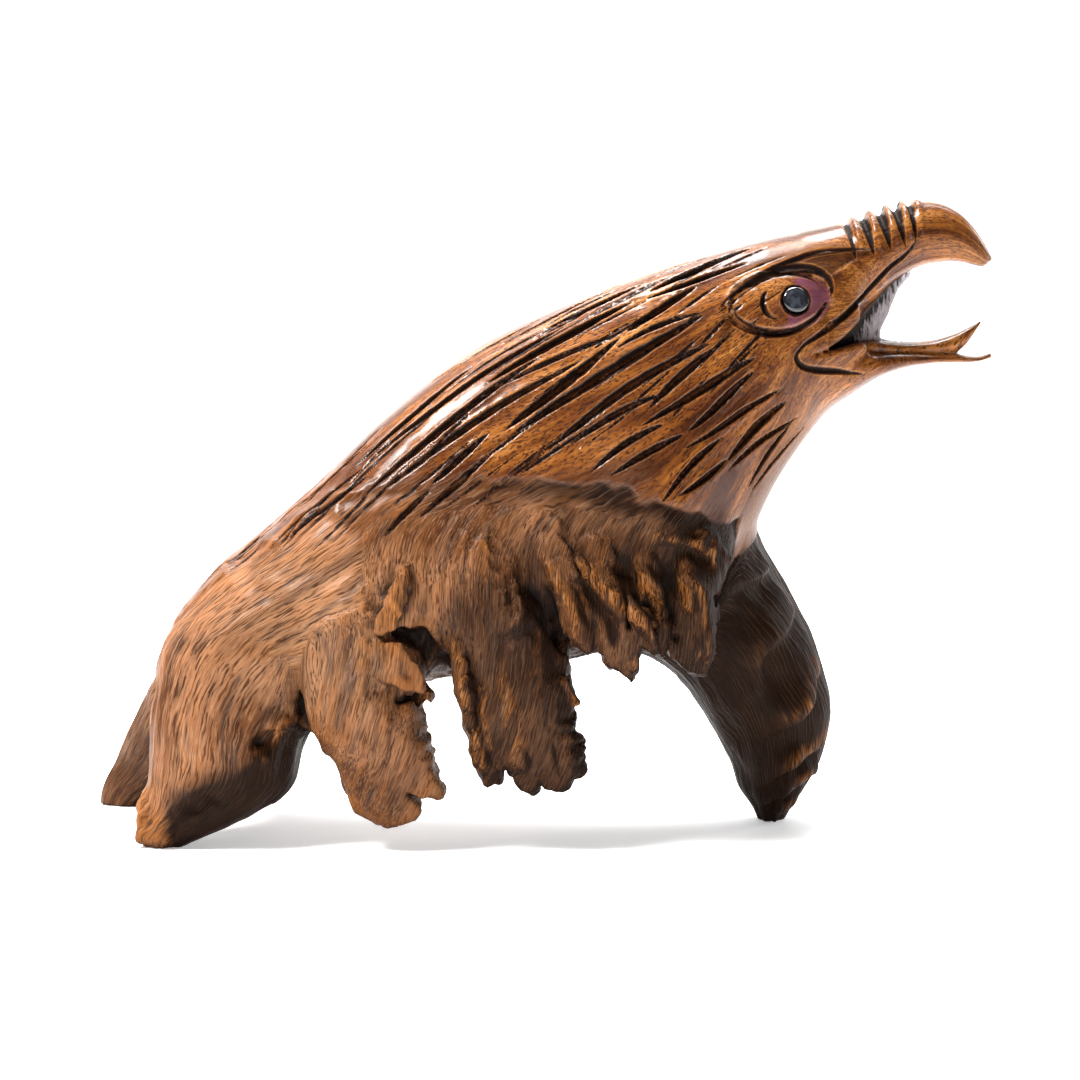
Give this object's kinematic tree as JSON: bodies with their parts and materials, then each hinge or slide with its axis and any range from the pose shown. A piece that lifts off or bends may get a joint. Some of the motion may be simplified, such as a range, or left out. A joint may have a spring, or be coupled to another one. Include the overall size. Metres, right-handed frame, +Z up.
{
  "type": "eagle head carving",
  "caption": "Eagle's head and neck carved from gnarled root wood, beak open, long feather gouges, standing on root stubs as feet.",
  "frame": {"origin": "on the floor, below the middle of the carving's box", "axes": "+X the way the beak points, +Y the bird's left, +Z up"},
  "size_m": [0.323, 0.1044, 0.223],
  "materials": {
    "root_wood": "varnished carved wood, raw at the roots",
    "eye_bead": "glossy dark bead"
  },
  "bodies": {
    "root": {"eagle_carving": "root_wood", "right_eye_bead": "eye_bead", "left_eye_bead": "eye_bead"}
  },
  "joints": []
}
